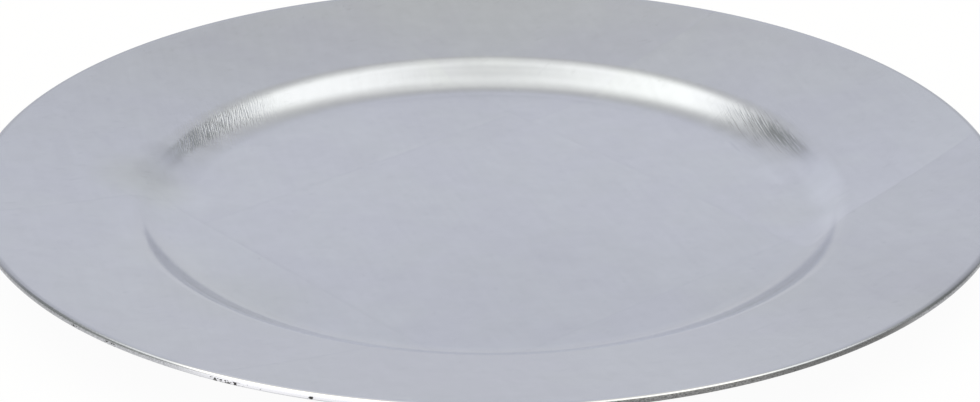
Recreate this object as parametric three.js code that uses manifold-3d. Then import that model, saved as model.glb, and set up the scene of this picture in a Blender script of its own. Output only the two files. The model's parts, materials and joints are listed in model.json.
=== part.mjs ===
// A round charger plate: a dark moulded blank covered with hand-laid square sheets of silver leaf.
// Millimetres, +Z up. The origin is the centre of the foot ring's base, on the table.
import * as THREE from 'three';
import { mergeVertices } from 'three/addons/utils/BufferGeometryUtils.js';
import Module from 'manifold-3d';

// Plan of the finished plate, over the leaf
const PLATE_DIAMETER = 330;
const FLOOR_DIAMETER = 197;

// Section of the finished face, from the flat floor outwards: slopes are in degrees from level
const COVE_RADIUS = 22;
const WALL_SLOPE = 36;
const WALL_STRAIGHT = 0.8;
const BROW_RADIUS = 15;
const RIM_SLOPE = 10.5;
const RIM_DISH = 1.6;

// Edge of the rim: a gentle roll, by its radius and its turn in degrees, before the full round of the lip
const ROLL_RADIUS = 5;
const ROLL_TURN = 18;

// Moulded blank: its even wall and the foot ring under the floor, narrowed on each side by its draft
const BLANK_WALL = 1.6;
const FOOT_HEIGHT = 2;
const FOOT_WIDTH = 3.2;
const FOOT_DRAFT = 0.4;
const FOOT_INSET = 4;

// Mark of the moulding gate: a shallow dimple under the centre, with the cut stub inside it
const GATE_DIAMETER = 12;
const GATE_DEPTH = 0.6;
const STUB_DIAMETER = 3;
const STUB_HEIGHT = 0.3;

// Leaf: the lacquered skin, the bed of size under it, its return under the rim, and its square sheets
const LEAF_SKIN = 0.3;
const LEAF_BED = 0.1;
const LEAF_RETURN = 8;
const LEAF_SHEET = 140;
const LEAF_LAP = 4;
const LEAF_JOIN = 0.2;

// Laying of the leaf: the direction of the rows, how far the middle row lies off the plate's centre, how far
// each row's middle sheet was slid along its row, and how far its sheets were turned out of square
const ROW_DIRECTION = -50.4;
const MIDDLE_ROW_OFFSET = -10;
const ROW_1_SLIDE = 0;
const ROW_2_SLIDE = 14;
const ROW_3_SLIDE = 25.1;
const ROW_1_SKEW = -2;
const ROW_2_SKEW = 3;
const ROW_3_SKEW = 4.8;

// Facets
const TURN_STEPS = 72;
const COVE_STEPS = 5;
const BROW_STEPS = 5;
const RIM_STEPS = 2;
const ROLL_STEPS = 2;
const LIP_STEPS = 5;
const MERGE_DISTANCE = 1e-4;
const RIGHT_ANGLE = 90;

// Colours and finish
const BLANK_COLOUR = '#1c1c1e';
const BLANK_ROUGHNESS = 0.5;
const LEAF_COLOUR = '#b8bbc6';
const LEAF_ROUGHNESS = 0.3;

// Sizes that follow from those above
const plateRadius = PLATE_DIAMETER / 2;
const floorRadius = FLOOR_DIAMETER / 2;
const coat = LEAF_SKIN + LEAF_BED;
const rimThickness = BLANK_WALL + 2 * coat;
const floorTop = FOOT_HEIGHT + BLANK_WALL + coat;
const leafPitch = LEAF_SHEET - LEAF_LAP;
const wallSlope = THREE.MathUtils.degToRad(WALL_SLOPE);
const innerSlope = THREE.MathUtils.degToRad(RIM_SLOPE - RIM_DISH);
const outerSlope = THREE.MathUtils.degToRad(RIM_SLOPE + RIM_DISH);
const rollTurn = THREE.MathUtils.degToRad(ROLL_TURN);
const rolledSlope = outerSlope - rollTurn;
const rollDrop = ROLL_RADIUS * (1 - Math.cos(rollTurn));
const rollWidth = ROLL_RADIUS * (Math.sin(outerSlope) - Math.sin(rolledSlope));
const lipRadius = (rimThickness - rollDrop) / (1 + Math.cos(rollTurn));
const lipWidth = lipRadius * (1 + Math.sin(rolledSlope));
const rows = [
  { slide: ROW_1_SLIDE, skew: ROW_1_SKEW },
  { slide: ROW_2_SLIDE, skew: ROW_2_SKEW },
  { slide: ROW_3_SLIDE, skew: ROW_3_SKEW },
];

// The section is a path of points, each with its radius, its height and its heading in radians
function goStraight(path, length) {
  const { r, z, heading } = path.at(-1);
  path.push({ r: r + length * Math.cos(heading), z: z + length * Math.sin(heading), heading });
}

// A tangent arc that turns from the path's heading to another one
function turnTo(path, radius, endHeading, steps) {
  const { r, z, heading } = path.at(-1);
  const side = Math.sign(endHeading - heading);
  const centreR = r - side * radius * Math.sin(heading);
  const centreZ = z + side * radius * Math.cos(heading);
  for (let step = 1; step <= steps; step++) {
    const turned = heading + ((endHeading - heading) * step) / steps;
    path.push({
      r: centreR + side * radius * Math.sin(turned),
      z: centreZ - side * radius * Math.cos(turned),
      heading: turned,
    });
  }
}

// The same path at a depth under it, as points of a lathe profile
function below(path, depth) {
  return path.map(({ r, z, heading }) =>
    new THREE.Vector2(r + depth * Math.sin(heading), z - depth * Math.cos(heading)));
}

// The last stretch of a line of points, walked back from its end over a given length
function lastStretch(points, length) {
  const stretch = [points.at(-1).clone()];
  let left = length;
  for (let index = points.length - 2; index >= 0 && left > 0; index--) {
    const from = stretch.at(-1);
    const run = from.distanceTo(points[index]);
    stretch.push(from.clone().lerp(points[index], Math.min(1, left / run)));
    left -= run;
  }
  return stretch;
}

// Finished face from the centre to the rim's edge: flat floor, cove, wall, brow and a slightly dished rim
function facePath() {
  const path = [{ r: 0, z: floorTop, heading: 0 }];
  goStraight(path, floorRadius);
  turnTo(path, COVE_RADIUS, wallSlope, COVE_STEPS);
  goStraight(path, WALL_STRAIGHT);
  turnTo(path, BROW_RADIUS, innerSlope, BROW_STEPS);
  const rimWidth = plateRadius - lipWidth - rollWidth - path.at(-1).r;
  const rimRadius = rimWidth / (Math.sin(outerSlope) - Math.sin(innerSlope));
  turnTo(path, rimRadius, outerSlope, RIM_STEPS);
  return path;
}

// Edge from the rim's face to its underside: the roll and the full round of the lip
function lipPath(face) {
  const path = [face.at(-1)];
  turnTo(path, ROLL_RADIUS, rolledSlope, ROLL_STEPS);
  turnTo(path, lipRadius, outerSlope - Math.PI, LIP_STEPS);
  return path;
}

// Underside of the floor, inwards from the foot ring to the gate's mark on the axis
function baseProfile() {
  const footOuter = floorRadius - FOOT_INSET;
  const footInner = footOuter - FOOT_WIDTH;
  const dimpleTop = FOOT_HEIGHT + GATE_DEPTH;
  const corners = [
    [footOuter, FOOT_HEIGHT],
    [footOuter - FOOT_DRAFT, 0],
    [footInner + FOOT_DRAFT, 0],
    [footInner, FOOT_HEIGHT],
    [GATE_DIAMETER / 2, FOOT_HEIGHT],
    [GATE_DIAMETER / 2, dimpleTop],
    [STUB_DIAMETER / 2, dimpleTop],
    [STUB_DIAMETER / 2, dimpleTop - STUB_HEIGHT],
    [0, dimpleTop - STUB_HEIGHT],
  ];
  return corners.map(([r, z]) => new THREE.Vector2(r, z));
}

// Section of the blank: its face under the leaf, its lip, and its underside an even wall below the face
function blankProfile(face, lip) {
  const top = below(face, coat);
  const edge = below(lip, coat).slice(1);
  const underside = below(face, coat + BLANK_WALL).slice(1).reverse();
  return [...top, ...edge, ...underside, ...baseProfile()];
}

// One side of the leaf, a depth under its outside: over the face, round the lip and back under the rim
function leafSide(face, lip, depth) {
  const edge = below(lip, depth).slice(1);
  const underside = [...below(face, rimThickness - depth), edge.at(-1)];
  return [...below(face, depth), ...edge.slice(0, -1), ...lastStretch(underside, LEAF_RETURN)];
}

// Section of the leaf: its outside from the axis outwards, and its inside back again
function leafProfile(face, lip) {
  return [...leafSide(face, lip, 0), ...leafSide(face, lip, LEAF_SKIN).reverse()];
}

// A geometry with its shared corners merged and its flat triangles left out
function merged(geometry) {
  geometry.deleteAttribute('normal');
  geometry.deleteAttribute('uv');
  const joined = mergeVertices(geometry, MERGE_DISTANCE);
  const corners = joined.index.array;
  const kept = [];
  for (let start = 0; start < corners.length; start += 3) {
    const [a, b, c] = corners.slice(start, start + 3);
    if (a !== b && b !== c && c !== a) kept.push(a, b, c);
  }
  joined.setIndex(new THREE.BufferAttribute(new Uint32Array(kept), 1));
  return joined;
}

// A profile turned about the plate's axis; it runs from the axis outwards over the top and back below
function turned(profile) {
  const geometry = new THREE.LatheGeometry([...profile].reverse(), TURN_STEPS);
  geometry.rotateX(Math.PI / 2);
  return merged(geometry);
}

const wasm = await Module();
wasm.setup();

function toSolid(geometry) {
  return new wasm.Manifold(new wasm.Mesh({
    numProp: 3,
    vertProperties: geometry.attributes.position.array,
    triVerts: geometry.index.array,
  }));
}

function toGeometry(solid) {
  const { vertProperties, triVerts } = solid.getMesh();
  const geometry = new THREE.BufferGeometry();
  geometry.setAttribute('position', new THREE.BufferAttribute(vertProperties, 3));
  geometry.setIndex(new THREE.BufferAttribute(triVerts, 1));
  return geometry;
}

// Neighbouring bands, one sheet's pitch wide, that cover the plate, with one of them centred at a given place
function bands(centre) {
  const list = [];
  const join = centre - leafPitch / 2;
  const first = join - leafPitch * Math.ceil((join + plateRadius) / leafPitch);
  for (let low = first; low < plateRadius; low += leafPitch) {
    list.push([low + LEAF_JOIN / 2, low + leafPitch - LEAF_JOIN / 2]);
  }
  return list;
}

// The point at given distances along two directions that needn't be square to each other
function crossing(rowNormal, rowDistance, sheetNormal, sheetDistance) {
  const area = rowNormal.cross(sheetNormal);
  return new THREE.Vector2(
    (rowDistance * sheetNormal.y - sheetDistance * rowNormal.y) / area,
    (sheetDistance * rowNormal.x - rowDistance * sheetNormal.x) / area,
  );
}

function directionAt(degrees) {
  const angle = THREE.MathUtils.degToRad(degrees);
  return new THREE.Vector2(Math.cos(angle), Math.sin(angle));
}

// Upright prism over one sheet's outline, taller than the leaf on both sides by its own skin
function sheetPrism(rowNormal, rowBand, sheetNormal, sheetBand, box) {
  const [nearRow, farRow] = rowBand;
  const [start, end] = sheetBand;
  const outline = new THREE.Shape([
    crossing(rowNormal, nearRow, sheetNormal, start),
    crossing(rowNormal, nearRow, sheetNormal, end),
    crossing(rowNormal, farRow, sheetNormal, end),
    crossing(rowNormal, farRow, sheetNormal, start),
  ]);
  const depth = box.max.z - box.min.z + 2 * LEAF_SKIN;
  const geometry = new THREE.ExtrudeGeometry(outline, { depth, bevelEnabled: false });
  geometry.translate(0, 0, box.min.z - LEAF_SKIN);
  return merged(geometry);
}

function blankMesh(face, lip) {
  const material = new THREE.MeshStandardMaterial({
    color: BLANK_COLOUR,
    roughness: BLANK_ROUGHNESS,
    metalness: 0,
  });
  const mesh = new THREE.Mesh(turned(blankProfile(face, lip)), material);
  mesh.name = 'plate_blank';
  return mesh;
}

// The leaf's skin cut along its joins into the sheets that it was laid in
function leafMeshes(face, lip) {
  const skin = turned(leafProfile(face, lip));
  skin.computeBoundingBox();
  const skinSolid = toSolid(skin);
  const rowNormal = directionAt(ROW_DIRECTION + RIGHT_ANGLE);
  const meshes = [];
  bands(MIDDLE_ROW_OFFSET).forEach((rowBand, row) => {
    const { slide, skew } = rows[row % rows.length];
    const sheetNormal = directionAt(ROW_DIRECTION + skew);
    let sheet = 0;
    for (const sheetBand of bands(slide)) {
      const prism = sheetPrism(rowNormal, rowBand, sheetNormal, sheetBand, skin.boundingBox);
      const piece = skinSolid.intersect(toSolid(prism));
      if (piece.isEmpty()) continue;
      sheet += 1;
      const material = new THREE.MeshStandardMaterial({
        color: LEAF_COLOUR,
        roughness: LEAF_ROUGHNESS,
        metalness: 1,
      });
      const mesh = new THREE.Mesh(toGeometry(piece), material);
      mesh.name = `leaf_row_${row + 1}_sheet_${sheet}`;
      meshes.push(mesh);
    }
  });
  return meshes;
}

const face = facePath();
const lip = lipPath(face);
const plate = new THREE.Group();
plate.add(blankMesh(face, lip), ...leafMeshes(face, lip));

export default plate;
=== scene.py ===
"""Looks of a round charger plate: a dark moulded blank under nine hand-laid sheets of silver leaf."""
import json
import math
from collections import namedtuple

import bmesh
import bpy
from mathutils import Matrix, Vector, noise


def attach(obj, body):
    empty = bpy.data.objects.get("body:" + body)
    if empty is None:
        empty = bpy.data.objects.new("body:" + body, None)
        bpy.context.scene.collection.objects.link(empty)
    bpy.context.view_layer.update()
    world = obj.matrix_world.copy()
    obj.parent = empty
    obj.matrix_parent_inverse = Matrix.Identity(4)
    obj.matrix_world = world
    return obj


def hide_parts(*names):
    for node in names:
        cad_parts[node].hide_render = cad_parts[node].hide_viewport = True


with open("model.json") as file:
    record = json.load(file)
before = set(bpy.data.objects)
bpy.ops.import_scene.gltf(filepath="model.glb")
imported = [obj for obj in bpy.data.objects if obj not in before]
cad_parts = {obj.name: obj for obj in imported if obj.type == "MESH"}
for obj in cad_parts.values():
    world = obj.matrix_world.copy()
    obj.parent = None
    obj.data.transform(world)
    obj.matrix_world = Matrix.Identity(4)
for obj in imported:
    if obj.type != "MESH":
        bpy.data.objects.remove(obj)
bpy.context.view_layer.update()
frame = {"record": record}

# Section of the finished face, as the solids have it: metres, and degrees from level
PLATE_RADIUS = 0.165
FLOOR_RADIUS = 0.0985
COVE_RADIUS = 0.022
WALL_SLOPE = 36
WALL_STRAIGHT = 0.0008
BROW_RADIUS = 0.015
RIM_SLOPE = 10.5
RIM_DISH = 1.6
ROLL_RADIUS = 0.005
ROLL_TURN = 18

# Thicknesses: the blank, the leaf with its lacquer, and the bed of size between them
BLANK_WALL = 0.0016
LEAF_SKIN = 0.0003
LEAF_BED = 0.0001

# Foot ring and gate mark under the blank, with the rounding of their corners
FOOT_WIDTH = 0.0032
FOOT_DRAFT = 0.0004
FOOT_INSET = 0.004
GATE_RADIUS = 0.006
GATE_DEPTH = 0.0006
STUB_RADIUS = 0.0015
STUB_HEIGHT = 0.0003
FOOT_ROUNDING = 0.0005
GATE_ROUNDING = 0.00012

# Laying of the leaf: pitch and direction of the rows, then each row's slide and skew
ROWS = 3
SHEETS = 3
LEAF_PITCH = 0.136
ROW_DIRECTION = -50.4
MIDDLE_ROW_OFFSET = -0.01
ROW_SLIDES = (0.0, 0.014, 0.0251)
ROW_SKEWS = (-2.0, 3.0, 4.8)
ROW_HAIRLINE = 0.00001
SHEET_HAIRLINE = 0.000002

# The lap of a sheet over the next one: a low ridge along the join
LAP_HEIGHT = 0.000008
LAP_FLAT = 0.0006
LAP_END = 0.0016

# The leaf's return under the rim: its mean reach, its torn edge and how thin that edge is
LEAF_RETURN = 0.008
TORN_DEPTH = 0.0035
TORN_SIZE = 0.012
TORN_HEIGHT = 0.00006
TORN_SKIN = 0.00004
# Noise of the torn edge: how fast finer detail fades, how much finer each octave is, and the octaves
TORN_FADE = 0.6
TORN_FINER = 2.3
TORN_OCTAVES = 4

# Slight waves in the leaf where it didn't lie down quite flat
WAVE_HEIGHT = 0.00002
WAVE_SIZE = 0.03

# Facets
TURN_STEPS = 480
FLOOR_STEPS = 12
COVE_STEPS = 20
BROW_STEPS = 18
RIM_STEPS = 10
ROLL_STEPS = 6
LIP_STEPS = 18
RETURN_STEPS = 4
ROUNDING_STEPS = 4
SHARP_ANGLE = 50
SNAP = 0.000002

# What each corner of the leaf keeps: its way to the blank, and how many degrees it has gone over the lip
INWARD = "inward"
OVER = "over"
UNDERNEATH = 180.0
UP = Vector((0.0, 0.0, 1.0))

# Sizes that follow from those above
floor_top = next(mount["pos_m"][2] for mount in frame["record"]["mounts"] if mount["name"] == "well_floor")
coat = LEAF_SKIN + LEAF_BED
rim_thickness = BLANK_WALL + 2 * coat
foot_height = floor_top - BLANK_WALL - coat
inner_slope = math.radians(RIM_SLOPE - RIM_DISH)
outer_slope = math.radians(RIM_SLOPE + RIM_DISH)
rolled_slope = outer_slope - math.radians(ROLL_TURN)
roll_drop = ROLL_RADIUS * (1 - math.cos(math.radians(ROLL_TURN)))
lip_radius = (rim_thickness - roll_drop) / (1 + math.cos(math.radians(ROLL_TURN)))
roll_width = ROLL_RADIUS * (math.sin(outer_slope) - math.sin(rolled_slope))
lip_width = lip_radius * (1 + math.sin(rolled_slope))

# A point of the section, with the direction it is walked in
Spot = namedtuple("Spot", "r z heading")
# A corner of the leaf: its spot, degrees over the lip, sink towards the blank, and thickness
Corner = namedtuple("Corner", "spot over sink skin")


def go_straight(path, length, steps):
    start = path[-1]
    for step in range(1, steps + 1):
        gone = length * step / steps
        r = start.r + gone * math.cos(start.heading)
        z = start.z + gone * math.sin(start.heading)
        path.append(Spot(r, z, start.heading))


def turn_to(path, radius, end_heading, steps):
    """A tangent arc that turns from the path's heading to another one."""
    start = path[-1]
    turn = end_heading - start.heading
    side = math.copysign(1, turn)
    centre_r = start.r - side * radius * math.sin(start.heading)
    centre_z = start.z + side * radius * math.cos(start.heading)
    for step in range(1, steps + 1):
        heading = start.heading + turn * step / steps
        r = centre_r + side * radius * math.sin(heading)
        z = centre_z - side * radius * math.cos(heading)
        path.append(Spot(r, z, heading))


def below(spot, depth):
    """Radius and height of the point at a depth under a spot of the section."""
    return spot.r + depth * math.sin(spot.heading), spot.z - depth * math.cos(spot.heading)


def face_path():
    """The finished face, from the centre outwards: floor, cove, wall, brow and a slightly dished rim."""
    path = [Spot(0.0, floor_top, 0.0)]
    go_straight(path, FLOOR_RADIUS, FLOOR_STEPS)
    turn_to(path, COVE_RADIUS, math.radians(WALL_SLOPE), COVE_STEPS)
    go_straight(path, WALL_STRAIGHT, 1)
    turn_to(path, BROW_RADIUS, inner_slope, BROW_STEPS)
    turn_to(path, rim_curve(path[-1]), outer_slope, RIM_STEPS)
    return path


def rim_curve(start):
    """Radius of the rim's dish, from the end of the brow to where the rim's edge rolls over."""
    rim_end = PLATE_RADIUS - roll_width - lip_width
    return (rim_end - start.r) / (math.sin(outer_slope) - math.sin(inner_slope))


face = face_path()
lip = [face[-1]]
turn_to(lip, ROLL_RADIUS, rolled_slope, ROLL_STEPS)
turn_to(lip, lip_radius, outer_slope - math.pi, LIP_STEPS)
brow_end = face[-1 - RIM_STEPS]
underside_curve = rim_curve(brow_end) + rim_thickness
lip_top = max(spot.z for spot in lip)


def return_path(length):
    """The underside of the rim, walked inwards from the lip."""
    path = [lip[-1]]
    turn_to(path, underside_curve, lip[-1].heading - length / underside_curve, RETURN_STEPS)
    return path[1:]


def pointing(angle):
    return Vector((math.cos(angle), math.sin(angle), 0.0))


def direction_at(degrees):
    return pointing(math.radians(degrees))


def torn_length(angle):
    """Reach of the leaf under the rim, which ends in a torn edge."""
    place = pointing(angle) * PLATE_RADIUS / TORN_SIZE
    return LEAF_RETURN + TORN_DEPTH * noise.fractal(place, TORN_FADE, TORN_FINER, TORN_OCTAVES)


def wave(point):
    return WAVE_HEIGHT * noise.noise(point / WAVE_SIZE)


def leaf_walk(angle):
    """The leaf's corners along the section at one angle, out to the lip and back to the torn edge under it."""
    walk = [Corner(spot, 0.0, 0.0, LEAF_SKIN) for spot in face[1:]]
    walk += [Corner(spot, math.degrees(outer_slope - spot.heading), 0.0, LEAF_SKIN) for spot in lip[1:]]
    for step, spot in enumerate(return_path(torn_length(angle)), 1):
        share = step / RETURN_STEPS
        sink = (coat - TORN_HEIGHT) * share ** 2
        skin = LEAF_SKIN + (TORN_SKIN - LEAF_SKIN) * share
        walk.append(Corner(spot, UNDERNEATH, sink, skin))
    return walk


def leaf_column(bm, layers, angle):
    """The leaf's vertices along the section at one angle."""
    inward, over = layers
    out = pointing(angle)
    column = []
    for corner in leaf_walk(angle):
        spot = corner.spot
        normal = UP * math.cos(spot.heading) - out * math.sin(spot.heading)
        point = out * spot.r + UP * spot.z
        vert = bm.verts.new(point + normal * (wave(point) - corner.sink))
        vert[inward] = -normal * corner.skin
        vert[over] = corner.over
        column.append(vert)
    return column


def leaf_layers(bm):
    verts = bm.verts.layers
    return verts.float_vector[INWARD], verts.float[OVER]


def join_columns(bm, tip, here, there):
    """Faces between two neighbouring columns of vertices, from the axis outwards."""
    bm.faces.new((tip, here[0], there[0]))
    for index in range(len(here) - 1):
        bm.faces.new((here[index], here[index + 1], there[index + 1], there[index]))


def leaf_surface():
    """The outside of the whole leaf as one open surface, before it is cut along its joins."""
    bm = bmesh.new()
    bm.verts.layers.float_vector.new(INWARD)
    bm.verts.layers.float.new(OVER)
    layers = leaf_layers(bm)
    centre = bm.verts.new((0.0, 0.0, floor_top))
    centre[layers[0]] = -UP * LEAF_SKIN
    columns = [leaf_column(bm, layers, math.tau * step / TURN_STEPS) for step in range(TURN_STEPS)]
    for here, there in zip(columns, columns[1:] + columns[:1]):
        join_columns(bm, centre, here, there)
    return bm


def cut(bm, normal, distance, **cleared):
    parts = bm.verts[:] + bm.edges[:] + bm.faces[:]
    bmesh.ops.bisect_plane(
        bm, geom=parts, dist=SNAP, plane_co=normal * distance, plane_no=normal, **cleared
    )


def lay_over(bm, normal, distance):
    """Lifts the edge of a sheet along the join where it laps over the next sheet."""
    inward = leaf_layers(bm)[0]
    cut(bm, normal, distance - LAP_FLAT)
    cut(bm, normal, distance - LAP_END)
    for vert in bm.verts:
        gap = distance - normal.dot(vert.co)
        lift = min(1.0, max(0.0, (LAP_END - gap) / (LAP_END - LAP_FLAT)))
        vert.co -= vert[inward].normalized() * LAP_HEIGHT * lift


def close_skin(bm):
    """Gives the open surface its thickness: an inner face, and a narrow edge all round."""
    inward = leaf_layers(bm)[0]
    edges = [edge for edge in bm.edges if edge.is_boundary]
    faces = bm.faces[:]
    inner = {vert: bm.verts.new(vert.co + vert[inward], vert) for vert in bm.verts[:]}
    for edge in edges:
        loop = edge.link_loops[0]
        start, end = loop.vert, loop.link_loop_next.vert
        bm.faces.new((end, start, inner[start], inner[end]))
    for shown in faces:
        bm.faces.new([inner[vert] for vert in reversed(shown.verts)])


def to_piece(bm, name, material):
    """A mesh piece on the plate's one body, smooth but for its real edges."""
    mesh = bpy.data.meshes.new(name)
    bm.to_mesh(mesh)
    bm.free()
    mesh.shade_smooth()
    mesh.set_sharp_from_angle(angle=math.radians(SHARP_ANGLE))
    mesh.materials.append(material)
    piece = bpy.data.objects.new(name, mesh)
    bpy.context.scene.collection.objects.link(piece)
    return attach(piece, "root")


def joins(middle):
    """The two joins on either side of a middle row or sheet, with the open ends beyond the plate."""
    beyond = 2 * PLATE_RADIUS
    return -beyond, middle - LEAF_PITCH / 2, middle + LEAF_PITCH / 2, beyond


def leaf_sheet(whole, row, sheet, material):
    """One sheet, cut from the whole leaf along the joins around it."""
    bm = whole.copy()
    rows = (direction_at(ROW_DIRECTION + 90), joins(MIDDLE_ROW_OFFSET), row, ROW_HAIRLINE)
    sheets = (direction_at(ROW_DIRECTION + ROW_SKEWS[row]), joins(ROW_SLIDES[row]), sheet, SHEET_HAIRLINE)
    for normal, bounds, index, hairline in (rows, sheets):
        low = bounds[index] + hairline / 2
        high = bounds[index + 1] - hairline / 2
        cut(bm, normal, low, clear_inner=True)
        cut(bm, normal, high, clear_outer=True)
        if high < PLATE_RADIUS:
            lay_over(bm, normal, high)
    close_skin(bm)
    piece = to_piece(bm, f"silver_leaf_{row + 1}_{sheet + 1}", material)
    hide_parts(f"leaf_row_{row + 1}_sheet_{sheet + 1}")
    return piece


def rounded(corners, radius):
    """A line of corners with each inner corner rounded off."""
    points = [Vector(corners[0])]
    for before, corner, after in zip(corners, corners[1:], corners[2:]):
        corner = Vector(corner)
        back = (Vector(before) - corner).normalized()
        ahead = (Vector(after) - corner).normalized()
        half = back.angle(ahead) / 2
        reach = radius / math.tan(half)
        start = corner + back * reach
        end = corner + ahead * reach
        for step in range(ROUNDING_STEPS + 1):
            share = step / ROUNDING_STEPS
            points.append((1 - share) ** 2 * start + 2 * share * (1 - share) * corner + share ** 2 * end)
    points.append(Vector(corners[-1]))
    return [(point.x, point.y) for point in points]


def blank_profile():
    """The blank's section: its top under the leaf, its lip, its even underside, foot ring and gate mark."""
    top = [below(spot, coat) for spot in face]
    edge = [below(spot, coat) for spot in lip[1:]]
    underside = [below(spot, coat + BLANK_WALL) for spot in reversed(face[FLOOR_STEPS:])]
    foot_outer = FLOOR_RADIUS - FOOT_INSET
    foot_inner = foot_outer - FOOT_WIDTH
    dimple_top = foot_height + GATE_DEPTH
    foot = [
        underside[-1],
        (foot_outer, foot_height),
        (foot_outer - FOOT_DRAFT, 0.0),
        (foot_inner + FOOT_DRAFT, 0.0),
        (foot_inner, foot_height),
        (foot_inner - FOOT_INSET, foot_height),
    ]
    gate = [
        (GATE_RADIUS + FOOT_INSET, foot_height),
        (GATE_RADIUS, foot_height),
        (GATE_RADIUS, dimple_top),
        (STUB_RADIUS, dimple_top),
        (STUB_RADIUS, dimple_top - STUB_HEIGHT),
        (0.0, dimple_top - STUB_HEIGHT),
    ]
    return top + edge + underside[:-1] + rounded(foot, FOOT_ROUNDING) + rounded(gate, GATE_ROUNDING)


def turned(profile):
    """A profile that starts and ends on the axis, turned about it."""
    bm = bmesh.new()
    first = bm.verts.new((0.0, 0.0, profile[0][1]))
    last = bm.verts.new((0.0, 0.0, profile[-1][1]))
    columns = []
    for step in range(TURN_STEPS):
        out = direction_at(360 * step / TURN_STEPS)
        columns.append([bm.verts.new((out.x * r, out.y * r, z)) for r, z in profile[1:-1]])
    for here, there in zip(columns, columns[1:] + columns[:1]):
        join_columns(bm, first, here, there)
        bm.faces.new((here[-1], last, there[-1]))
    return bm


# Colours of the leaf, of its worn places, of the highlight painted on its lip, and of the blank
LEAF_COLOUR = (0.48, 0.5, 0.582, 1.0)
LEAF_NEUTRAL = (0.48, 0.503, 0.576, 1.0)
PAINTED_HIGHLIGHT_COLOUR = (0.89, 0.89, 0.93, 1.0)
YELLOWED_COLOUR = (0.4, 0.43, 0.36, 1.0)
GRITTY_COLOUR = (0.5, 0.507, 0.53, 1.0)
BLANK_COLOUR = (0.012, 0.012, 0.013, 1.0)
DUST_COLOUR = (0.05, 0.05, 0.05, 1.0)

# Mean roughness of the leaf, how far its clouds vary it, and what is added where the leaf is rubbed through
# and where the lip's band of painted shade lies
LEAF_ROUGHNESS = 0.2
CLOUDY_ROUGHNESS = 0.08
WORN_AND_SHADED_ROUGHNESS = 0.3
# Roughness of the clean blank, and what dust adds to it
BLANK_ROUGHNESS = 0.36
DUSTY_ROUGHNESS = 0.25

# Noise by its sizes along, across and upwards in metres, and by its finer detail
Noise = namedtuple("Noise", "along across up detail")
CLOUDS = Noise(0.03, 0.03, 0.03, 4.0)
MOTTLE = Noise(0.008, 0.008, 0.008, 3.0)
STREAKS = Noise(0.03, 0.002, 0.03, 2.0)
SCUFFS = Noise(0.004, 0.0006, 0.004, 0.0)
STROKE_PATCHES = Noise(0.008, 0.008, 0.008, 2.0)
GRIT = Noise(0.0005, 0.0005, 0.0004, 3.0)
FLAKES = Noise(0.0009, 0.0009, 0.0006, 2.0)
MATTE_GRAIN = Noise(0.0006, 0.0006, 0.0006, 3.0)
DUST = Noise(0.02, 0.02, 0.02, 5.0)
# The leaf's noise is shifted from row to row and from sheet to sheet
ROW_SHIFT = 7.0
SHEET_SHIFT = 2.0

# Tone before the noise is added, and how strongly each noise lightens or darkens it
PLAIN_TONE = 0.907
CLOUD_SHADE = 0.06
MOTTLE_SHADE = 0.09
STREAK_SHADE = 0.04
SCUFF_SHADE = 0.05
SPECK_SHADE = 0.2
# Levels of the clouds between which the leaf's two colours mix
HUE_LEVELS = (0.35, 0.65)
# Scuffs: their turn from the brushing, and the noise levels where they start and are full
SCUFF_TURN = 110
SCUFF_LEVELS = (0.7, 0.8)
# Specks: their mean spacing, the turn of their pattern, and where they end and are full, in spacings
SPECK_SPACING = 0.03
SPECK_TURN = 20
SPECK_EDGE = (0.011, 0.006)
# The whole leaf is a little lighter towards one side
LIGHTER = 0.022
LIGHTER_SIDE = 40

# The direction each sheet was brushed in, by row
BRUSHED = ((-75, -76, -74), (-77, -72, -70), (-72, -74, -68))
# Brush strokes by row: length, pitch, the noise level where they begin, and the least that is left of them
Stroke = namedtuple("Stroke", "length pitch level least")
STROKES = (
    Stroke(0.006, 0.0006, 0.35, 0.5),
    Stroke(0.0045, 0.0005, 0.35, 0.5),
    Stroke(0.012, 0.00045, 0.47, 1.0),
)
STROKE_DETAIL = 2.0
STROKE_RISE = 0.3
STROKE_DEPTH = 0.00005
# Noise levels between which the strokes come and go
PATCH_LEVELS = (0.4, 0.6)
# Where the brush pressed hardest: the place on the wall by its direction and radius, and its reach
PRESSED = ((147, 0.113, 0.034), (30, 0.113, 0.03))
LIGHTLY = 0.15

# Every soft spot below is full up to this share of its reach
SPOT_CORE = 1 / 3
# Smudges by direction, radius, reach and shade; they end at the clean sheet, which was laid last
SMUDGES = (
    (-18, 0.155, 0.1, 0.065),
    (-42, 0.165, 0.085, 0.055),
    (-67, 0.067, 0.06, 0.03),
    (130, 0.155, 0.06, 0.025),
    (97, 0.08, 0.035, 0.035),
    (-33, 0.172, 0.03, 0.1),
)
CLEAN_SHEET = (2, 1)
# Paler places by direction, radius, reach and strength
PALE_SPOTS = (
    (48, 0.142, 0.05, 0.03),
    (-174, 0.075, 0.06, 0.02),
    (203, 0.111, 0.028, 0.04),
    (-17, 0.0995, 0.02, 0.02),
)
# Small places around the wall painted paler or, below zero, darker, as painted light and shade along the
# wall's mirrored highlight and its ends; they are measured in plan
WALL_LIGHT_AND_SHADE_SPOTS = (
    (17, 0.102, 0.012, 0.05),
    (176, 0.1, 0.013, 0.035),
    (-3, 0.111, 0.009, -0.05),
    (163, 0.1135, 0.0095, -0.08),
    (170, 0.1125, 0.0095, -0.075),
    (152.5, 0.1075, 0.0055, -0.06),
    (159, 0.1114, 0.006, 0.06),
    (175, 0.114, 0.009, -0.02),
    (30, 0.1075, 0.007, -0.08),
    (35, 0.1075, 0.007, -0.08),
    (40, 0.1075, 0.007, -0.08),
)
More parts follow.
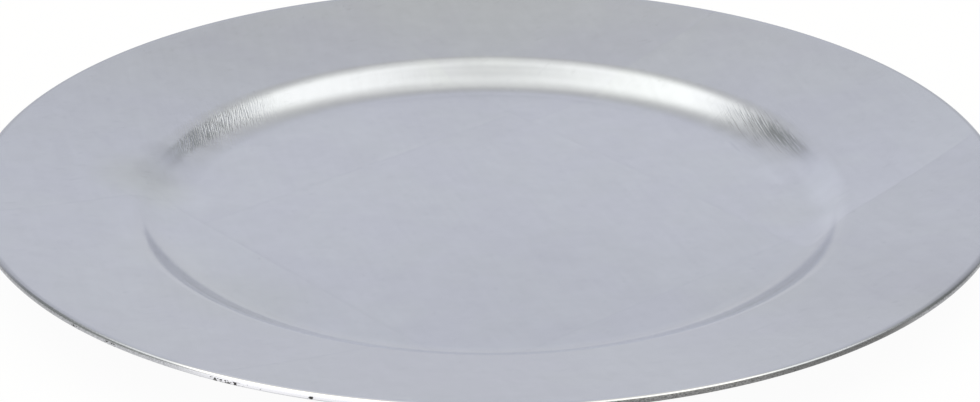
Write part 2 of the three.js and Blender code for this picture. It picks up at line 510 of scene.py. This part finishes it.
# Places where the lacquer has yellowed
YELLOWED_SPOTS = (
    (174, 0.117, 0.024, 0.25),
    (-38, 0.172, 0.03, 0.25),
    (203, 0.111, 0.026, 0.1),
    (-2, 0.096, 0.016, 0.08),
    (94, 0.172, 0.075, 0.08),
    (222, 0.107, 0.035, 0.12),
    (-42, 0.107, 0.03, 0.08),
)

# The leaf is a little darker where it lies double along a row's lower join
DOUBLE_WIDTH = 0.0026
DOUBLE_SHADES = (0.0, 0.025, 0.015)
# Outside the well that fades to a share, over a stretch that ends at this many floor radii
DOUBLE_OUTSIDE = 0.4
DOUBLE_FADED = 1.2

# Sides are given by a direction, and by how far a place lies that way, where 1 is the plate's edge
VIEWER_SIDE = 270
# The roll of the rim's edge is darker away from the viewer's side: how much, and where that starts and is full
ROLL_DARKER = 0.25
ROLL_DARKER_SIDE = (0.82, 0.55)
# The wall is painted lighter on the viewer's side, as painted light on the wall there: the radii where that
# starts, is full, lessens and ends
PAINTED_LIGHT_RADII = (0.102, 0.105, 0.1168, 0.1188)
# How much lighter it is there, and how far to that side this starts and is full
PAINTED_LIGHT = 0.21
PAINTED_LIGHT_SIDE = (0.24, 0.6)
# How much is added in the middle of that side, and where this starts and is full
PAINTED_LIGHT_MIDDLE = 0.09
PAINTED_LIGHT_MIDDLE_SIDE = (0.56, 0.66)

# A dark band painted on the lip as shade, where the lip mirrors dark surroundings, by degrees over the lip:
# where it starts, is full, lessens and ends
SHADED_BAND_OVER = (48, 61, 150, 180)
# The side where that band is painted, how far to that side this starts and is full, and the share of leaf it
# paints over with the blank's black
SHADED_BAND_SIDE = 297
SHADED_BAND_REACH = (0.9, 0.97)
SHADED_BAND_SHARE = 0.7
# Noise levels of the grit in that band, and how strong the band is at both, against the mean
SHADED_BAND_GRIT_LEVELS = (0.25, 0.75)
SHADED_BAND_GRIT = (0.7, 1.3)
# Single rubbed spots on the lip: direction, reach, and the noise level above which flakes are lost in it
RUBBED_SPOTS = ((243.5, 0.008, 0.5), (252.7, 0.001, 0.3), (229, 0.005, 0.55), (223.5, 0.004, 0.55))
SPOTS_OVER = (78, 92, 165, 180)
# The noise level for flakes at the end of a spot, and how soft the edge of a flake is
FLAKE_LEVEL = 0.7
FLAKE_EDGE = 0.05
# A bright highlight painted on the lip where it mirrors a light: degrees over the lip where that starts, is
# full, lessens and ends
PAINTED_HIGHLIGHT_OVER = (6, 24, 112, 150)
# Its sides: direction, how far to that side it starts and is full, and its strength
PAINTED_HIGHLIGHT_SIDES = ((254, 0.945, 0.99, 1.0), (288, 0.97, 0.995, 0.45))
# The lip is greyer and grittier than the face: the degrees over the lip where that starts and is full
GRITTY_OVER = (45, 75)
GRITTY_LEVELS = (0.2, 0.8)
GRITTY = 0.3

# The blank's grain, the noise levels where its dust starts and is full, and how much the dust covers
GRAIN_DEPTH = 0.00003
DUST_LEVELS = (0.45, 0.8)
DUST_SHARE = 0.5

# Numbers of the Mix node's colour sockets
MIX_FIRST = 6
MIX_SECOND = 7
MIX_RESULT = 2


def feed(tree, node, inputs):
    """Sets a node's inputs, each to a value or to another node's output."""
    for name, value in inputs.items():
        if isinstance(value, bpy.types.NodeSocket):
            tree.links.new(value, node.inputs[name])
        else:
            node.inputs[name].default_value = value


def add(tree, kind, inputs=None, **settings):
    """A node with its settings and its inputs."""
    node = tree.nodes.new(kind)
    for name, value in settings.items():
        setattr(node, name, value)
    feed(tree, node, inputs or {})
    return node


def calc(tree, operation, first, second=0.0, clamp=False):
    node = add(tree, "ShaderNodeMath", {0: first, 1: second}, operation=operation, use_clamp=clamp)
    return node.outputs[0]


def weighted(tree, base, terms):
    """A base value plus other values, each times its weight."""
    total = base
    for value, weight in terms:
        total = calc(tree, "ADD", calc(tree, "MULTIPLY", value, weight), total)
    return total


def fit(tree, value, low, high, start=0.0, end=1.0):
    """A value brought smoothly from one range to another, and held at its ends."""
    ranges = {"Value": value, "From Min": low, "From Max": high, "To Min": start, "To Max": end}
    return add(tree, "ShaderNodeMapRange", ranges, interpolation_type="SMOOTHSTEP").outputs["Result"]


def between(tree, value, bounds):
    """Rises from the first bound to the second, and falls from the third to the last."""
    start, full, lessens, end = bounds
    return calc(tree, "MULTIPLY", fit(tree, value, start, full), fit(tree, value, lessens, end, 1.0, 0.0))


def vector_times(tree, first, second):
    return add(tree, "ShaderNodeVectorMath", {0: first, 1: second}, operation="MULTIPLY").outputs["Vector"]


def mixed(tree, factor, first, second):
    inputs = {0: factor, MIX_FIRST: first, MIX_SECOND: second}
    return add(tree, "ShaderNodeMix", inputs, data_type="RGBA").outputs[MIX_RESULT]


def stretched(tree, place, degrees, lengths, shift=0.0):
    """Coordinates turned about the plate's axis, in units of lengths along, across and upwards."""
    turn = {"Vector": place, "Angle": math.radians(-degrees)}
    aligned = add(tree, "ShaderNodeVectorRotate", turn, rotation_type="Z_AXIS").outputs["Vector"]
    scale = [1 / length for length in lengths]
    mapped = {"Vector": aligned, "Location": (shift, shift, shift), "Scale": scale}
    return add(tree, "ShaderNodeMapping", mapped).outputs["Vector"]


def speckle(tree, place, size, degrees=0, shift=0.0):
    """Noise of a size, turned about the plate's axis."""
    lengths = (size.along, size.across, size.up)
    inputs = {"Vector": stretched(tree, place, degrees, lengths, shift), "Scale": 1.0, "Detail": size.detail}
    return add(tree, "ShaderNodeTexNoise", inputs).outputs["Fac"]


def bumped(tree, height, depth):
    inputs = {"Height": height, "Distance": depth, "Strength": 1.0}
    return add(tree, "ShaderNodeBump", inputs).outputs["Normal"]


def object_place(tree):
    return add(tree, "ShaderNodeTexCoord").outputs["Object"]


def along(tree, place, vector):
    return add(tree, "ShaderNodeVectorMath", {0: place, 1: vector}, operation="DOT_PRODUCT").outputs["Value"]


def towards(tree, place, degrees):
    """How far a place lies towards one side of the plate, 1 at that side's edge."""
    return along(tree, place, direction_at(degrees) / PLATE_RADIUS)


def gap_to(tree, place, spot):
    return add(tree, "ShaderNodeVectorMath", {0: place, 1: spot}, operation="DISTANCE").outputs["Value"]


def near_to(tree, place, spot, reach, inside, outside):
    """One value in the middle of a soft spot, and another one past its reach."""
    return fit(tree, gap_to(tree, place, spot), reach * SPOT_CORE, reach, inside, outside)


def spots(tree, place, listed):
    """How strong a few soft spots are together."""
    total = 0.0
    for degrees, radius, reach, strength in listed:
        spot = near_to(tree, place, direction_at(degrees) * radius, reach, strength, 0.0)
        total = calc(tree, "ADD", spot, total)
    return total


def new_material(name):
    material = bpy.data.materials.new(name)
    material.use_nodes = True
    return material, material.node_tree


def noise_shift(row, sheet):
    return ROW_SHIFT * row + SHEET_SHIFT * sheet


def leaf_material(row, sheet):
    """Silver leaf of one sheet: brushed, cloudy and marked, and on the lip a painted highlight, a band of
    painted shade, and spots rubbed through.
    """
    material, tree = new_material(f"silver_leaf_{row + 1}_{sheet + 1}")
    place = object_place(tree)
    over = add(tree, "ShaderNodeAttribute", attribute_name=OVER).outputs["Fac"]
    clouds = speckle(tree, place, CLOUDS, shift=noise_shift(row, sheet))
    grit = speckle(tree, place, GRIT)
    gritty = fit(tree, over, *GRITTY_OVER)
    shades = face_shades(tree, place, row, sheet)
    shades.append((clouds, CLOUD_SHADE))
    shades.append((darker_roll(tree, place, over), -ROLL_DARKER))
    shades.append((fit(tree, grit, *GRITTY_LEVELS, -GRITTY, GRITTY), gritty))
    tone = weighted(tree, PLAIN_TONE, shades)
    hue = leaf_hue(tree, place, clouds, gritty)
    colour = add(tree, "ShaderNodeVectorMath", {0: hue, "Scale": tone}, operation="SCALE").outputs["Vector"]
    # The highlight painted along the lip
    colour = mixed(tree, painted_lip_highlight(tree, place, over), colour, PAINTED_HIGHLIGHT_COLOUR)
    # The black blank shows where the leaf is rubbed through, and is painted in as shade in a band along one
    # side of the lip
    worn_and_shaded = wear_and_painted_shade(tree, place, over, grit)
    roughness = [(clouds, CLOUDY_ROUGHNESS), (worn_and_shaded, WORN_AND_SHADED_ROUGHNESS)]
    feed(tree, tree.nodes["Principled BSDF"], {
        "Base Color": mixed(tree, worn_and_shaded, colour, BLANK_COLOUR),
        "Metallic": calc(tree, "SUBTRACT", 1.0, worn_and_shaded),
        "Roughness": weighted(tree, LEAF_ROUGHNESS - CLOUDY_ROUGHNESS / 2, roughness),
        "Normal": bumped(tree, brush_strokes(tree, place, row, sheet), STROKE_DEPTH),
    })
    return material


def face_shades(tree, place, row, sheet):
    """What lightens or darkens one sheet from place to place, each with its weight."""
    brushed = BRUSHED[row][sheet]
    shift = noise_shift(row, sheet)
    plan = vector_times(tree, place, (1.0, 1.0, 0.0))
    shades = [
        (speckle(tree, place, MOTTLE, shift=shift), MOTTLE_SHADE),
        (speckle(tree, place, STREAKS, brushed, shift), STREAK_SHADE),
        (scuffs(tree, place, brushed), -SCUFF_SHADE),
        (specks(tree, place), -SPECK_SHADE),
        (doubled(tree, place, row), -DOUBLE_SHADES[row]),
        (towards(tree, place, LIGHTER_SIDE), LIGHTER),
        # Painted light on the wall's viewer's side
        (painted_wall_light(tree, place), 1.0),
        (spots(tree, place, PALE_SPOTS), 1.0),
        # Painted light and shade along the wall's mirrored highlight
        (spots(tree, plan, WALL_LIGHT_AND_SHADE_SPOTS), 1.0),
    ]
    if (row, sheet) != CLEAN_SHEET:
        shades.append((spots(tree, place, SMUDGES), -1.0))
    return shades


def leaf_hue(tree, place, clouds, gritty):
    """The leaf's colour before its tone: two silvers, yellowed lacquer and the grey of the lip."""
    hue = mixed(tree, fit(tree, clouds, *HUE_LEVELS), LEAF_COLOUR, LEAF_NEUTRAL)
    hue = mixed(tree, spots(tree, place, YELLOWED_SPOTS), hue, YELLOWED_COLOUR)
    return mixed(tree, gritty, hue, GRITTY_COLOUR)


def brush_strokes(tree, place, row, sheet):
    """Height of the brush strokes, which come and go and are highest where the brush pressed."""
    stroke = STROKES[row]
    shift = noise_shift(row, sheet)
    size = Noise(stroke.length, stroke.pitch, stroke.length, STROKE_DETAIL)
    grain = speckle(tree, place, size, BRUSHED[row][sheet], shift)
    raised = fit(tree, grain, stroke.level, stroke.level + STROKE_RISE)
    patchy = speckle(tree, place, STROKE_PATCHES, shift=shift)
    left = fit(tree, patchy, *PATCH_LEVELS, stroke.least, 1.0)
    return calc(tree, "MULTIPLY", calc(tree, "MULTIPLY", raised, pressed(tree, place)), left)


def pressed(tree, place):
    """How hard the brush pressed on the leaf."""
    force = LIGHTLY
    for degrees, radius, reach in PRESSED:
        near = near_to(tree, place, direction_at(degrees) * radius, reach, 1.0, LIGHTLY)
        force = calc(tree, "MAXIMUM", near, force)
    return force


def specks(tree, place):
    """A few small dark specks under the lacquer."""
    spacing = (SPECK_SPACING, SPECK_SPACING, SPECK_SPACING)
    cells = {"Vector": stretched(tree, place, SPECK_TURN, spacing), "Scale": 1.0}
    distance = add(tree, "ShaderNodeTexVoronoi", cells, voronoi_dimensions="2D").outputs["Distance"]
    return fit(tree, distance, *SPECK_EDGE)


def scuffs(tree, place, brushed):
    """Short, faint scuffs, aslant to the brushing."""
    return fit(tree, speckle(tree, place, SCUFFS, brushed + SCUFF_TURN), *SCUFF_LEVELS)


def doubled(tree, place, row):
    """The strip along a row's lower join where the next row's edge shows through."""
    join = joins(MIDDLE_ROW_OFFSET)[row]
    gap = calc(tree, "SUBTRACT", along(tree, place, direction_at(ROW_DIRECTION + 90)), join)
    radius = gap_to(tree, place, Vector())
    inside = fit(tree, radius, FLOOR_RADIUS, DOUBLE_FADED * FLOOR_RADIUS, 1.0, DOUBLE_OUTSIDE)
    return calc(tree, "MULTIPLY", fit(tree, gap, 0.0, DOUBLE_WIDTH, 1.0, 0.0), inside)


def darker_roll(tree, place, over):
    """Where the roll of the rim's edge is darker, away from the viewer's side."""
    away = fit(tree, towards(tree, place, VIEWER_SIDE), *ROLL_DARKER_SIDE)
    return calc(tree, "MULTIPLY", fit(tree, over, 0, ROLL_TURN), away)


def painted_wall_light(tree, place):
    """How much painted light makes the wall lighter on the viewer's side."""
    nearness = towards(tree, place, VIEWER_SIDE)
    side = fit(tree, nearness, *PAINTED_LIGHT_SIDE, 0.0, PAINTED_LIGHT)
    middle = fit(tree, nearness, *PAINTED_LIGHT_MIDDLE_SIDE, 0.0, PAINTED_LIGHT_MIDDLE)
    wall = between(tree, gap_to(tree, place, Vector()), PAINTED_LIGHT_RADII)
    return calc(tree, "MULTIPLY", wall, calc(tree, "ADD", middle, side))


def painted_lip_highlight(tree, place, over):
    """Where a bright highlight is painted on the lip."""
    highlight_strength = 0.0
    for degrees, start, full, strength in PAINTED_HIGHLIGHT_SIDES:
        side = fit(tree, towards(tree, place, degrees), start, full, 0.0, strength)
        highlight_strength = calc(tree, "MAXIMUM", side, highlight_strength)
    return calc(tree, "MULTIPLY", between(tree, over, PAINTED_HIGHLIGHT_OVER), highlight_strength)


def wear_and_painted_shade(tree, place, over, grit):
    """Where the lip is dark: a gritty band of painted shade on one side, and the leaf rubbed through in a few
    spots.
    """
    # The band of painted shade on one side of the lip
    side = fit(tree, towards(tree, place, SHADED_BAND_SIDE), *SHADED_BAND_REACH, 0.0, SHADED_BAND_SHARE)
    worn_and_shaded = calc(tree, "MULTIPLY", side, fit(tree, grit, *SHADED_BAND_GRIT_LEVELS, *SHADED_BAND_GRIT))
    worn_and_shaded = calc(tree, "MULTIPLY", worn_and_shaded, between(tree, over, SHADED_BAND_OVER))
    flakes = speckle(tree, place, FLAKES)
    low = between(tree, over, SPOTS_OVER)
    for degrees, reach, least in RUBBED_SPOTS:
        spot = direction_at(degrees) * PLATE_RADIUS + UP * (lip_top - lip_radius)
        level = near_to(tree, place, spot, reach, least, FLAKE_LEVEL)
        lost = fit(tree, calc(tree, "SUBTRACT", flakes, level), 0.0, FLAKE_EDGE)
        worn_and_shaded = calc(tree, "MAXIMUM", worn_and_shaded, calc(tree, "MULTIPLY", lost, low), clamp=True)
    return worn_and_shaded


def blank_material():
    """Black moulded plastic: fine matte grain and a little dust."""
    material, tree = new_material("blank_plastic")
    place = object_place(tree)
    dust = speckle(tree, place, DUST)
    dusty = fit(tree, dust, *DUST_LEVELS, 0.0, DUST_SHARE)
    feed(tree, tree.nodes["Principled BSDF"], {
        "Base Color": mixed(tree, dusty, BLANK_COLOUR, DUST_COLOUR),
        "Roughness": weighted(tree, BLANK_ROUGHNESS, [(dust, DUSTY_ROUGHNESS)]),
        "Normal": bumped(tree, speckle(tree, place, MATTE_GRAIN), GRAIN_DEPTH),
    })
    return material


# Studio: levels against the white backdrop by height in degrees, between the softboxes and under them
BETWEEN_BOXES = (
    (0, 0.86), (8, 0.88), (24, 0.95), (30, 0.915), (39, 0.84),
    (44, 0.8), (48, 0.87), (58, 1.23), (72, 1.42), (90, 1.2),
)
UNDER_BOXES = (
    (0, 0.86), (8, 0.88), (24, 0.95), (36, 0.55), (42, 0.7),
    (50, 1.68), (57, 2.05), (66, 1.92), (90, 1.2),
)
ZENITH = 90.0
# Colour ramps hold nothing above 1, so they hold shares of this level
BRIGHTEST = 2.2
# The softboxes begin between two turns away from their middle at a height, and lean outwards below it
BOX_MIDDLE = 2.5
BOX_START = 8
BOX_FULL = 46
BOX_HEIGHT = 60
BOX_LEAN = 0.5
# Their light is a little warmer than the backdrop's, from one height up to another
WHITE = (1.0, 1.0, 1.0, 1.0)
WARM_TINT = (1.02, 1.0, 0.87, 1.0)
WARM_START = 28
WARM_FULL = 56

# Soft patches of the studio, in degrees: middle and half width across, then in height, edge; level and tint
Patch = namedtuple("Patch", "turn half_turn height half_height edge level tint")
NEUTRAL = (1.0, 1.0, 1.0)
OLIVE = (1.0, 1.03, 0.93)
PATCHES = (
    Patch(-26, 9, 19, 7, 11, 1.03, NEUTRAL),
    Patch(-78, 20, 27, 8, 12, 0.45, OLIVE),
    Patch(-42, 6, 37.5, 2, 8.5, 0.36, OLIVE),
    Patch(66, 14, 24, 8, 10, 0.42, OLIVE),
    Patch(40, 7, 38, 2, 8, 0.36, OLIVE),
    Patch(14, 5, 1, 3, 5, 0.96, NEUTRAL),
    Patch(-140, 22, 20, 40, 12, 1.13, NEUTRAL),
    Patch(130, 25, 15, 25, 25, 0.75, NEUTRAL),
)


def height_ramp(tree, height, levels):
    """Light by height, where the height goes from 0 at the horizon to 1 at the zenith."""
    node = add(tree, "ShaderNodeValToRGB", {"Fac": height})
    ramp = node.color_ramp
    ramp.interpolation = "EASE"
    while len(ramp.elements) < len(levels):
        ramp.elements.new(0.5)
    for element, (degrees, level) in zip(ramp.elements, levels):
        share = level / BRIGHTEST
        element.position = degrees / ZENITH
        element.color = (share, share, share, 1.0)
    return node.outputs["Color"]


def box_light(tree, turn, height):
    """The softboxes on both sides, and the backdrop between and under them."""
    share = calc(tree, "DIVIDE", height, ZENITH, clamp=True)
    lean = calc(tree, "MULTIPLY", calc(tree, "SUBTRACT", height, BOX_HEIGHT), BOX_LEAN)
    turned_aside = calc(tree, "ABSOLUTE", calc(tree, "SUBTRACT", turn, BOX_MIDDLE))
    aside = fit(tree, calc(tree, "ADD", turned_aside, lean), BOX_START, BOX_FULL)
    return mixed(tree, aside, height_ramp(tree, share, BETWEEN_BOXES), height_ramp(tree, share, UNDER_BOXES))


def within(tree, value, middle, half, edge):
    """1 inside a stretch of angles, fading to 0 over its soft edge."""
    off = calc(tree, "ABSOLUTE", calc(tree, "SUBTRACT", value, middle))
    return fit(tree, off, half, half + edge, 1.0, 0.0)


def studio_world():
    world = bpy.data.worlds.new("studio")
    bpy.context.scene.world = world
    world.use_nodes = True
    tree = world.node_tree
    direction = add(tree, "ShaderNodeTexCoord").outputs["Generated"]
    axes = add(tree, "ShaderNodeSeparateXYZ", {"Vector": direction}).outputs
    height = calc(tree, "DEGREES", calc(tree, "ARCSINE", axes["Z"]))
    turn = calc(tree, "DEGREES", calc(tree, "ARCTAN2", axes["X"], axes["Y"]))
    light = box_light(tree, turn, height)
    for patch in PATCHES:
        across = within(tree, turn, patch.turn, patch.half_turn, patch.edge)
        up = within(tree, height, patch.height, patch.half_height, patch.edge)
        colour = [patch.level / BRIGHTEST * part for part in patch.tint]
        light = mixed(tree, calc(tree, "MULTIPLY", across, up), light, (*colour, 1.0))
    tint = mixed(tree, fit(tree, height, WARM_START, WARM_FULL), WHITE, WARM_TINT)
    background = {"Color": vector_times(tree, light, tint), "Strength": BRIGHTEST}
    feed(tree, tree.nodes["Background"], background)


# Stage: a white floor that glows for the eye and the metal, and keeps a light shadow
STAGE_REACH = 4.0
STAGE_DROP = 0.0001
STAGE_COLOUR = (0.85, 0.85, 0.85, 1.0)
STAGE_GLOW = 0.96


def stage_material():
    material, tree = new_material("stage")
    path = add(tree, "ShaderNodeLightPath").outputs
    seen = calc(tree, "MAXIMUM", path["Is Camera Ray"], path["Is Glossy Ray"])
    seen = calc(tree, "MAXIMUM", seen, path["Is Transmission Ray"])
    paint = add(tree, "ShaderNodeBsdfDiffuse", {"Color": STAGE_COLOUR}).outputs["BSDF"]
    glow = add(tree, "ShaderNodeEmission", {"Strength": 1.0}).outputs["Emission"]
    blend = {0: calc(tree, "MULTIPLY", seen, STAGE_GLOW), 1: paint, 2: glow}
    surface = add(tree, "ShaderNodeMixShader", blend).outputs["Shader"]
    feed(tree, tree.nodes["Material Output"], {"Surface": surface})
    return material


def stage():
    mesh = bpy.data.meshes.new("stage")
    ways = ((-1, -1), (1, -1), (1, 1), (-1, 1))
    corners = [(x * STAGE_REACH, y * STAGE_REACH, -STAGE_DROP) for x, y in ways]
    mesh.from_pydata(corners, [], [(0, 1, 2, 3)])
    mesh.materials.append(stage_material())
    floor = bpy.data.objects.new("stage", mesh)
    bpy.context.scene.collection.objects.link(floor)


# Camera: elevation in degrees, distance and aim in metres, and the focal length against the picture's width
CAMERA_ELEVATION = 24.21
CAMERA_DISTANCE = 0.9442
CAMERA_AIM = Vector((0.00026, -0.02794, lip_top))
FOCAL_PIXELS = 3000
PICTURE_PIXELS = 980
SENSOR_WIDTH = 36.0


def camera():
    data = bpy.data.cameras.new("camera")
    data.sensor_fit = "HORIZONTAL"
    data.sensor_width = SENSOR_WIDTH
    data.lens = FOCAL_PIXELS / PICTURE_PIXELS * SENSOR_WIDTH
    eye = bpy.data.objects.new("camera", data)
    elevation = math.radians(CAMERA_ELEVATION)
    back = Vector((0.0, -math.cos(elevation), math.sin(elevation)))
    eye.location = CAMERA_AIM + back * CAMERA_DISTANCE
    eye.rotation_euler = (math.pi / 2 - elevation, 0.0, 0.0)
    bpy.context.scene.collection.objects.link(eye)
    bpy.context.scene.camera = eye


blank = to_piece(turned(blank_profile()), "moulded_blank", blank_material())
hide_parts("plate_blank")
whole_leaf = leaf_surface()
for row in range(ROWS):
    for sheet in range(SHEETS):
        leaf_sheet(whole_leaf, row, sheet, leaf_material(row, sheet))
whole_leaf.free()
studio_world()
stage()
camera()
bpy.context.scene.view_settings.view_transform = "Standard"
